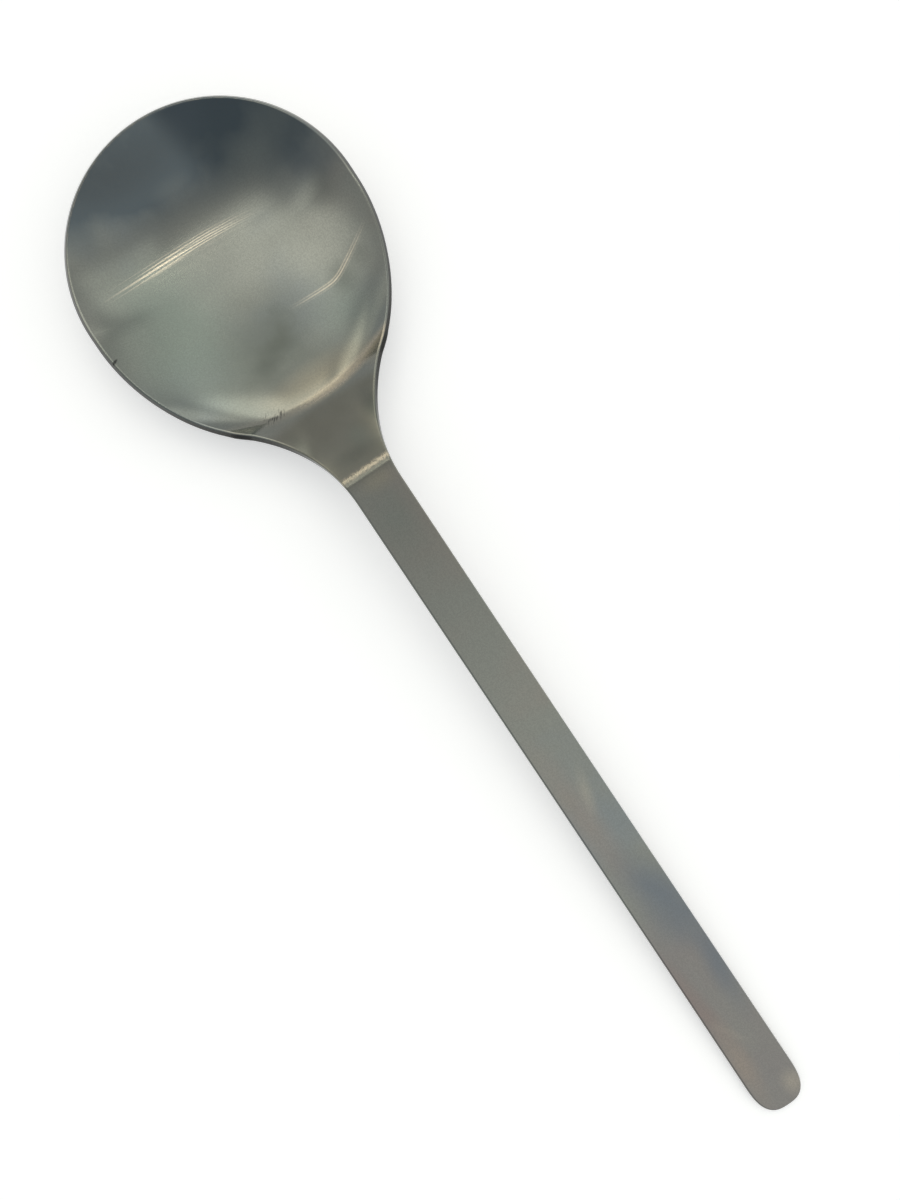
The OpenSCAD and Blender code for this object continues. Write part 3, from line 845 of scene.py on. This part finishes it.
def fold_wear_and_sheen(wiring, sizes):
    """1 along the ridge of each fold, broken up by small specks, and 0 elsewhere; it paints a highlight
    along the fold as well as its rubbed finish.
    """
    reach, side, _ = wiring.parts(wiring.place())
    specks = wiring.noise(wiring.place(), FOLD_SPECK_SCALE, detail=3.0)
    sheet = Sheet(sizes)
    middle = sizes.overall_length / 2
    bow = sizes.neck_fold_bow / sheet.fold_half_width ** 2
    bowed = wiring.maths("MULTIPLY_ADD", wiring.product(side, side), bow, reach)
    shares = []
    # Each fold's share paints a highlight along its ridge as well as its rubbed finish.
    for along, fold, wear in ((bowed, sizes.neck_fold_reach, NECK_FOLD_WEAR_AND_SHEEN),
                              (reach, sheet.handle_fold, HANDLE_FOLD_WEAR_AND_SHEEN)):
        off = wiring.distance(along, fold - middle + wear.shift)
        worn_and_sheen = wiring.mapped(side, *FOLD_WEAR_AND_SHEEN_SIDES, *wear.shares)
        broken = wiring.mapped(specks, *FOLD_SPECK_RANGE, wear.between, 1.0)
        shares.append(wiring.product(wiring.mapped(off, wear.width, 0), worn_and_sheen, broken))
    return wiring.maths("MAXIMUM", *shares)


HIGHLIGHT_LINES_REACH = -114 * MILLIMETRE
HIGHLIGHT_LINES_SIDE = -6 * MILLIMETRE
HIGHLIGHT_LINES_MIDDLE = -2.5 * MILLIMETRE
HIGHLIGHT_LINES_BEND = 5.5
HIGHLIGHT_LINES_WIDTH = 4.4 * MILLIMETRE
HIGHLIGHT_LINES_LENGTH = 46 * MILLIMETRE
HIGHLIGHT_LINES_FULL_LENGTH = 9.2 * MILLIMETRE
HIGHLIGHT_LINES_STRETCH = 0.011
HIGHLIGHT_LINES_RANGE = (0.47, 0.6)
HIGHLIGHT_LINES_SHARE = 0.9


def painted_highlight_lines(wiring, finish):
    """Share of the painted highlight lines across the bowl, the bright lines of a lamp's streak, bent along
    X as the bowl's front is.
    """
    reach, side, _ = wiring.parts(wiring.place())
    side = wiring.maths("SUBTRACT", side, HIGHLIGHT_LINES_SIDE)
    reach = wiring.maths("SUBTRACT", reach, wiring.product(side, side, HIGHLIGHT_LINES_BEND))
    off = wiring.distance(reach, HIGHLIGHT_LINES_REACH)
    far = wiring.distance(side, HIGHLIGHT_LINES_MIDDLE)
    vector = wiring.add("ShaderNodeCombineXYZ", inputs={
        "X": reach, "Y": wiring.product(side, HIGHLIGHT_LINES_STRETCH)})
    streaks = wiring.noise(vector, 1 / finish.highlight_line_spacing, detail=0.0)
    return wiring.product(wiring.mapped(off, HIGHLIGHT_LINES_WIDTH / 2, 0),
                          wiring.mapped(far, HIGHLIGHT_LINES_LENGTH / 2, HIGHLIGHT_LINES_FULL_LENGTH / 2),
                          HIGHLIGHT_LINES_SHARE, wiring.mapped(streaks, *HIGHLIGHT_LINES_RANGE))


MARK_LINES = (((-88.6, 24.0), -64.9), ((-87.3, 10.4), -95.3))
MARK_BEND_SIZE = 2 * MILLIMETRE
MARK_STRAND = 0.65 * MILLIMETRE
MARK_STRAND_SHARE = 0.45
MARK_SPOT = ((-87.6 * MILLIMETRE, 20 * MILLIMETRE, 0), (15 * MILLIMETRE, 15 * MILLIMETRE))


def press_ridge_and_highlight(wiring, finish):
    """Share of the low bent ridge that the press left where the bowl's floor turns up into its wall, which
    also carries a painted highlight.
    """
    leans = []
    for (reach, side), turn in MARK_LINES:
        moved = wiring.place((reach * MILLIMETRE, side * MILLIMETRE, 0), turn=math.radians(turn))
        leans.append(wiring.parts(moved)[1])
    off = wiring.add("ShaderNodeMath", operation="SMOOTH_MAX", inputs={
        0: leans[0], 1: leans[1], 2: MARK_BEND_SIZE})
    ridge = wiring.mapped(wiring.maths("ABSOLUTE", off), finish.mark_width / 2, 0)
    strands = wiring.maths("SINE", wiring.product(off, 2 * math.pi / MARK_STRAND))
    strands = wiring.maths("MULTIPLY_ADD", strands, MARK_STRAND_SHARE, 1 - MARK_STRAND_SHARE)
    return wiring.product(ridge, strands, wiring.spot(*MARK_SPOT))


class TintAndLightPatch:
    """A soft patch of colour on the steel, by its middle, length and width in millimetres; such patches
    stand for heat tints and for painted shade, painted reflections and painted glow.
    """

    def __init__(self, color, share, reach, side, length, width, turn=0.0, soft=1.0):
        self.color = color
        self.share = share
        self.reach = reach * MILLIMETRE
        self.side = side * MILLIMETRE
        self.size = (length * MILLIMETRE / 2, width * MILLIMETRE / 2)
        self.turn = math.radians(turn)
        self.soft = soft


# Patches of colour on the steel. The "dark", "shade" and "pale" patches are painted shade and painted
# reflections in the bowl and at the folds. The "neck" patch is painted shade over the neck's brown tone. The
# "gold" patches are painted glow beside the folds over a golden tint. The wide near black patch on the far
# left wall is painted shade. The green, navy, brown, umber and rust patches, the small dark mark and the
# pale wisps are heat tints and marks.
TINTS_AND_PAINTED_LIGHT = (
    # Painted dark reflection over the bowl's far wall.
    TintAndLightPatch("dark", 1.3, 0, 2, 48, 120, soft=0.5),
    TintAndLightPatch("burr_and_shade", 0.4, 6, -13, 18, 54),
    TintAndLightPatch("navy", 0.2, 5, 11, 14, 16),
    TintAndLightPatch("dark", 1.0, 25, 31, 38, 40),
    TintAndLightPatch("dark", 0.6, 11, -28, 20, 18),
    TintAndLightPatch("pale", 0.3, 27, 10, 10, 24),
    TintAndLightPatch("dark", 0.22, 20, 8, 10, 30),
    TintAndLightPatch("dark", 0.35, 17, -26, 10, 12),
    TintAndLightPatch("green", 0.85, 42, -20, 56, 44),
    TintAndLightPatch("burr_and_shade", 1.3, 44.4, -34.8, 2.8, 0.8, turn=-56, soft=0.6),
    # Painted shade and painted reflections over the bowl's floor and walls, among green heat tints.
    TintAndLightPatch("shade", 0.42, 43, -24, 36, 30),
    TintAndLightPatch("pale", 1.0, 44, 20, 38, 30),
    TintAndLightPatch("pale", 0.3, 41, 5, 22, 20),
    TintAndLightPatch("pale", 0.3, 34, 9, 14, 18),
    TintAndLightPatch("pale", 0.15, 15, -1, 9, 16),
    TintAndLightPatch("shade", 0.5, 36, 28, 14, 12),
    TintAndLightPatch("shade", 0.6, 55, 21, 12, 10),
    TintAndLightPatch("shade", 0.45, 66, 5, 12, 20),
    TintAndLightPatch("pale", 0.45, 66, -10, 10, 12),
    TintAndLightPatch("pale", 0.5, 33, -35, 18, 8),
    TintAndLightPatch("pale", 0.5, 69, 16, 12, 16),
    TintAndLightPatch("shade", 1.1, 57.5, -4, 38, 50, turn=20, soft=0.95),
    TintAndLightPatch("green", 0.6, 52, -22, 50, 40),
    TintAndLightPatch("green", 0.6, 62, 18, 30, 26),
    # Painted glow beside the neck's fold, over a golden tint.
    TintAndLightPatch("gold", 0.7, 71, 3, 12, 38),
    TintAndLightPatch("gold", 0.7, 74, 17, 9, 12),
    TintAndLightPatch("shade", 0.4, 53, 27, 10, 8),
    TintAndLightPatch("shade", 0.35, 63, -28, 8, 8),
    # Painted shade on the neck over its brown tone, painted shade at its edges and beside the handle's fold,
    # and painted glow beside that fold.
    TintAndLightPatch("neck", 0.95, 88.8, 0, 26.4, 60, soft=0.25),
    TintAndLightPatch("shade", 0.85, 86, 10, 16, 8),
    TintAndLightPatch("shade", 0.5, 86, -10, 16, 8),
    TintAndLightPatch("green", 0.35, 90, 3, 10, 8),
    TintAndLightPatch("gold", 0.65, 101.6, 1, 7, 13),
    TintAndLightPatch("shade", 0.4, 99.0, 0, 2.0, 24),
    TintAndLightPatch("shade", 0.4, 93.5, 0, 7, 22),
    TintAndLightPatch("green", 0.5, 112, 0, 34, 16),
    TintAndLightPatch("brown", 0.8, 196, -3, 70, 12, turn=3),
    TintAndLightPatch("worn_and_sheen", 0.25, 189, 1, 18, 5, turn=-14),
    TintAndLightPatch("umber", 0.85, 262, 0, 96, 60, soft=0.4),
    TintAndLightPatch("navy", 1.2, 221, 3, 46, 18, turn=16),
    TintAndLightPatch("navy", 0.4, 226, -1, 22, 14, turn=20),
    TintAndLightPatch("navy", 0.85, 242, 5, 38, 10, turn=-4),
    TintAndLightPatch("rust", 1.0, 249, -5, 46, 8, turn=6),
    TintAndLightPatch("worn_and_sheen", 0.14, 258, -2, 16, 3, turn=32),
    TintAndLightPatch("brown", 1.1, 266, -4, 36, 9, turn=-3),
    TintAndLightPatch("worn_and_sheen", 0.35, 277, 4, 10, 8),
)


FLOOR_SIZE = 6
HORIZON_TOP = 0.3
CLIP_START = 10 * MILLIMETRE


class AddStage(bpy.types.Operator):
    """Add the floor, the light and the camera"""

    bl_idname = "spoon.add_stage"
    bl_label = "Stage"

    def execute(self, context):
        studio = context.scene.spoon_studio
        self.add_floor(context, studio)
        self.light_world(context, studio)
        self.add_camera(context, studio)
        context.scene.view_settings.view_transform = "Standard"
        return {"FINISHED"}

    @staticmethod
    def add_floor(context, studio):
        deselect_all()
        bpy.ops.mesh.primitive_plane_add(size=FLOOR_SIZE)
        floor = context.active_object
        floor.name = floor.data.name = "floor"
        material = bpy.data.materials.new("pale_paper")
        material.use_nodes = True
        wiring = Wiring(material.node_tree)
        path = wiring.add("ShaderNodeLightPath", output=None)
        seen = wiring.maths("MAXIMUM", path.outputs["Is Camera Ray"], path.outputs["Is Glossy Ray"])
        seen = wiring.maths("MAXIMUM", seen, path.outputs["Is Transmission Ray"])
        glow = wiring.add("ShaderNodeEmission", inputs={
            "Color": (1, 1, 1, 1), "Strength": wiring.product(seen, studio.floor_lift)})
        paper = wiring.add("ShaderNodeBsdfDiffuse", inputs={"Color": opaque(studio.floor_color)})
        both = wiring.add("ShaderNodeAddShader", inputs={0: paper, 1: glow})
        wiring.add("ShaderNodeOutputMaterial", output=None, inputs={"Surface": both})
        floor.data.materials.append(material)

    @staticmethod
    def light_world(context, studio):
        """An even sky with soft panels and a bent strip, placed by their lean along X and along Y."""
        world = bpy.data.worlds.new("studio_light")
        context.scene.world = world
        world.use_nodes = True
        wiring = Wiring(world.node_tree)
        direction = wiring.add("ShaderNodeTexCoord", output="Generated")
        *sides, height = wiring.parts(direction)
        along, across = [wiring.maths("ARCTAN2", side, height) for side in sides]
        color = wiring.mixed(wiring.mapped(height, 0.0, HORIZON_TOP),
                             [studio.horizon_strength] * 3, [studio.sky_strength] * 3)
        for panel in PANELS:
            share = wiring.product(wiring.band(along, *panel.along, panel.soft),
                                   wiring.band(across, *panel.across, panel.soft))
            color = wiring.mixed(share, color, panel.color)
        slope = wiring.maths("MULTIPLY_ADD", across, STRIP.bend, STRIP.slope)
        middle = wiring.maths("MULTIPLY_ADD", across, slope, STRIP.middle)
        off = wiring.distance(along, middle)
        share = wiring.product(wiring.mapped(off, STRIP.half_width + STRIP.soft, STRIP.half_width),
                               wiring.band(across, *STRIP.across, STRIP.fade))
        color = wiring.mixed(share, color, STRIP.color)
        seen = wiring.add("ShaderNodeLightPath", output="Is Camera Ray")
        color = wiring.mixed(seen, color, (1, 1, 1))
        background = wiring.add("ShaderNodeBackground", inputs={"Color": color, "Strength": 1.0})
        wiring.add("ShaderNodeOutputWorld", output=None, inputs={"Surface": background})

    @staticmethod
    def add_camera(context, studio):
        place = (studio.camera_x, studio.camera_y, studio.camera_height)
        bpy.ops.object.camera_add(location=place, rotation=(0, 0, studio.camera_turn))
        camera = context.active_object
        camera.name = camera.data.name = "camera"
        camera.data.lens = studio.camera_lens
        camera.data.clip_start = CLIP_START
        context.scene.camera = camera


class Panel:
    """A soft panel of light, by its lean from the zenith in degrees and its brightness and colour."""

    def __init__(self, along, across, soft, strength, color=(1, 1, 1)):
        self.along = [math.radians(lean) for lean in along]
        self.across = [math.radians(lean) for lean in across]
        self.soft = math.radians(soft)
        self.color = [strength * part for part in color]


class Strip:
    """A narrow strip of light across the sky, whose lean along X is a curve of its lean across."""

    def __init__(self, middle, slope, bend, across, half_width, soft, fade, strength, color=(1, 1, 1)):
        self.middle = math.radians(middle)
        self.slope = slope
        self.bend = math.degrees(bend)
        self.across = [math.radians(lean) for lean in across]
        self.half_width = math.radians(half_width)
        self.soft = math.radians(soft)
        self.fade = math.radians(fade)
        self.color = [strength * part for part in color]


PANELS = (
    Panel((10, 75), (-16, 80), 12, 0.8, (1, 1, 0.98)),
    Panel((-10, 75), (-80, -16), 10, 0.36, (0.93, 1, 1.05)),
    Panel((-16, -2), (20, 60), 6, 0.85, (1, 1, 0.96)),
    Panel((-34, -26), (-50, -20), 6, 1.0, (1, 0.99, 0.94)),
    Panel((-34, -16), (-26, 58), 8, 1.1, (1, 0.99, 0.94)),
    Panel((-52, -40), (-6, 12), 5, 1.5, (1, 0.96, 0.86)),
    Panel((-52, -36), (12, 34), 5, 1.75, (1, 0.96, 0.87)),
    Panel((-58, -43), (-38, -14), 5, 1.15, (1, 0.96, 0.86)),
    Panel((-60, -38), (26, 40), 5, 1.7, (1, 0.985, 0.91)),
    Panel((-55, -49), (-24, 8), 2, 1.9, (1, 0.93, 0.78)),
    Panel((-62, -46), (44, 66), 5, 1.2, (1, 0.98, 0.92)),
    Panel((-62, -48), (-64, -42), 5, 0.7, (1, 0.98, 0.92)),
)
STRIP = Strip(-19.1, 0.176, -0.0041, (-2, 36), 0.2, 0.4, 16, 5, (1, 0.95, 0.82))


class SpoonPanel(bpy.types.Panel):
    """Lists the spoon's pieces and its stage"""

    bl_idname = "VIEW3D_PT_spoon"
    bl_label = "Salad Serving Spoon"
    bl_space_type = "VIEW_3D"
    bl_region_type = "UI"
    bl_category = "Spoon"

    def draw(self, context):
        for operator in OPERATORS:
            self.layout.operator(operator.bl_idname)


OPERATORS = (AddBowl, AddNeck, AddHandle, AddStage)
GROUPS = {"spoon_sizes": SpoonSizes, "spoon_finish": SteelFinish, "spoon_studio": StudioSettings}
CLASSES = (*GROUPS.values(), *OPERATORS, SpoonPanel)


def register():
    for each in CLASSES:
        bpy.utils.register_class(each)
    for name, group in GROUPS.items():
        setattr(bpy.types.Scene, name, bpy.props.PointerProperty(type=group))


def unregister():
    for name in GROUPS:
        delattr(bpy.types.Scene, name)
    for each in reversed(CLASSES):
        bpy.utils.unregister_class(each)


def main():
    register()
    bpy.ops.spoon.add_bowl()
    bpy.ops.spoon.add_neck()
    bpy.ops.spoon.add_handle()
    bpy.ops.spoon.add_stage()


if __name__ == "__main__":
    main()
